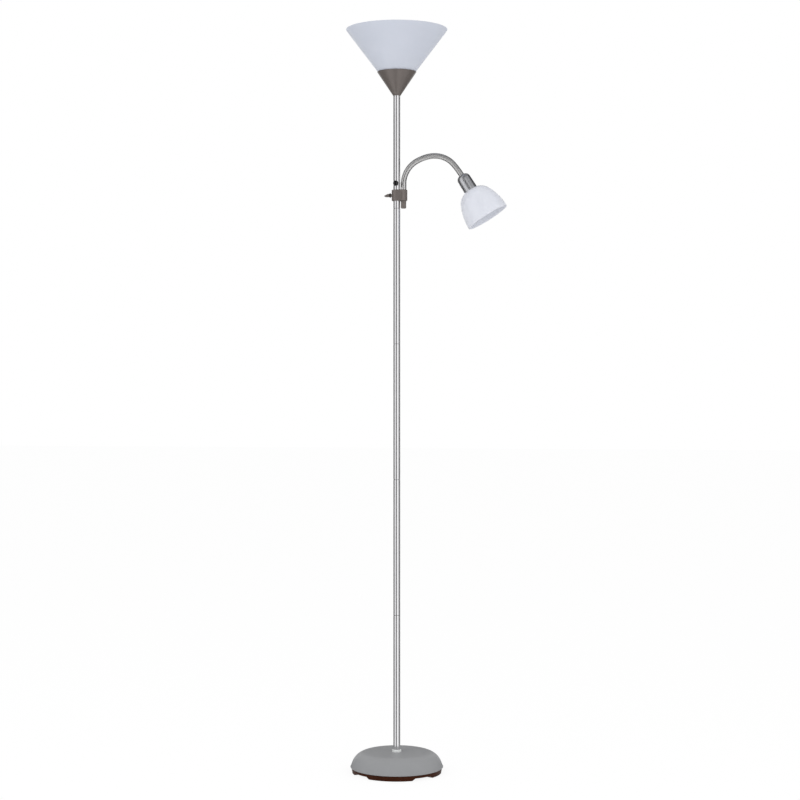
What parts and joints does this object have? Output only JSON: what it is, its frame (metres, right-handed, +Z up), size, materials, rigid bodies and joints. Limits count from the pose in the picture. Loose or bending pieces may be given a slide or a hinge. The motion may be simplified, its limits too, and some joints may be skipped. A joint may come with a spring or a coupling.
{
  "type": "torchiere floor lamp with reading light",
  "caption": "Torchiere floor lamp: a cone uplight on a jointed pole over a round weighted base, with a bell reading light on a bendable gooseneck arm.",
  "frame": {"origin": "on the floor, on the pole's axis, at the centre of the round base", "axes": "+Z up along the pole; +X towards the reading arm; -Y is the front, where the main switch knob points"},
  "size_m": [0.3913, 0.2464, 1.8],
  "materials": {
    "base_paint": "silver-grey satin lacquer over pressed steel",
    "concrete": "cast filler, raw",
    "tray_plastic": "dark brown moulded, satin",
    "polished_steel": "bright plated",
    "pole_plate": "nickel plated, bright satin",
    "neck_plate": "nickel plated, satin",
    "holder_nickel": "nickel plated, satin",
    "zinc_steel": "zinc plated",
    "pewter": "pewter-grey metallic lacquer, satin",
    "dark_nut": "blackened, satin",
    "black_gloss": "polished",
    "black_plastic": "satin",
    "white_plastic": "moulded, satin",
    "flex_sheath": "smooth sheath",
    "brass_shell": "rolled thread, bright",
    "opal_plastic": "opal white, satin outside",
    "frosted_glass": "opal white blown glass, satin",
    "bulb_glass": "opal white coated inside",
    "bulb_cap": "rolled screw cap"
  },
  "bodies": {
    "root": {"base_cover": "base_paint", "base_weight": "concrete", "base_tray": "tray_plastic", "base_collar": "polished_steel", "base_stem": "zinc_steel", "base_washer": "zinc_steel", "base_nut": "zinc_steel", "cord_grommet": "black_plastic", "pole_tube_1": "pole_plate", "pole_tube_2": "pole_plate", "pole_tube_3": "pole_plate", "pole_tube_4": "pole_plate", "pole_tube_5": "pole_plate", "pole_plugs": "zinc_steel", "pole_studs": "zinc_steel", "mains_flex": "flex_sheath", "switch_flex": "flex_sheath", "uplight_flex": "flex_sheath", "main_switch_body": "white_plastic", "main_switch_nut": "zinc_steel", "reading_switch_body": "white_plastic", "reading_switch_nut": "dark_nut", "uplight_cup": "pewter", "uplight_nipple": "zinc_steel", "uplight_nut": "zinc_steel", "uplight_lampholder": "white_plastic", "uplight_socket_shell": "brass_shell", "uplight_socket_contact": "brass_shell", "uplight_shade": "opal_plastic", "uplight_shade_ring": "white_plastic", "uplight_bulb_base": "bulb_cap", "uplight_bulb_glass": "bulb_glass", "clamp_body": "pewter"},
    "main_knob": {"main_switch_knob": "black_gloss", "main_switch_spindle": "white_plastic"},
    "reading_key": {"reading_switch_key": "pewter", "reading_switch_spindle": "white_plastic"},
    "arm_base": {"neck_ferrule": "neck_plate", "neck_cap_nut": "pewter"},
    "neck_1": {"neck_segment_1": "neck_plate"},
    "neck_2": {"neck_segment_2": "neck_plate"},
    "neck_3": {"neck_segment_3": "neck_plate"},
    "neck_4": {"neck_segment_4": "neck_plate"},
    "neck_5": {"neck_segment_5": "neck_plate"},
    "reading_head": {"neck_segment_6": "neck_plate", "neck_end_nut": "zinc_steel", "holder_cap": "holder_nickel", "reading_lampholder": "white_plastic", "reading_socket_shell": "brass_shell", "reading_socket_contact": "brass_shell", "reading_shade_ring": "white_plastic", "reading_shade": "frosted_glass", "reading_bulb_base": "bulb_cap", "reading_bulb_glass": "bulb_glass"}
  },
  "joints": [
    {"name": "main_switch", "type": "hinge", "parent": "root", "child": "main_knob", "pos_m": [0, -0.0145, 1.426], "axis": [0, -1, 0], "continuous": true},
    {"name": "reading_switch", "type": "hinge", "parent": "root", "child": "reading_key", "pos_m": [-0.024, 0, 1.3978], "axis": [-1, 0, 0], "continuous": true},
    {"name": "arm_swing", "type": "hinge", "parent": "root", "child": "arm_base", "pos_m": [0.0166, 0, 1.412], "axis": [0, 0, 1], "range_deg": [-90, 90]},
    {"name": "neck_bend_1", "type": "hinge", "parent": "arm_base", "child": "neck_1", "pos_m": [0.0166, 0, 1.424], "axis": [0, 1, 0], "range_deg": [-9, 6]},
    {"name": "neck_bend_2", "type": "hinge", "parent": "neck_1", "child": "neck_2", "pos_m": [0.02482, 0, 1.4558], "axis": [0, 1, 0], "range_deg": [-15, 6]},
    {"name": "neck_bend_3", "type": "hinge", "parent": "neck_2", "child": "neck_3", "pos_m": [0.04781, 0, 1.47919], "axis": [0, 1, 0], "range_deg": [-15, 6]},
    {"name": "neck_bend_4", "type": "hinge", "parent": "neck_3", "child": "neck_4", "pos_m": [0.07877, 0, 1.49077], "axis": [0, 1, 0], "range_deg": [-15, 6]},
    {"name": "neck_bend_5", "type": "hinge", "parent": "neck_4", "child": "neck_5", "pos_m": [0.11155, 0, 1.48876], "axis": [0, 1, 0], "range_deg": [-15, 6]},
    {"name": "neck_bend_6", "type": "hinge", "parent": "neck_5", "child": "reading_head", "pos_m": [0.13881, 0, 1.47055], "axis": [0, 1, 0], "range_deg": [-15, 6]}
  ]
}
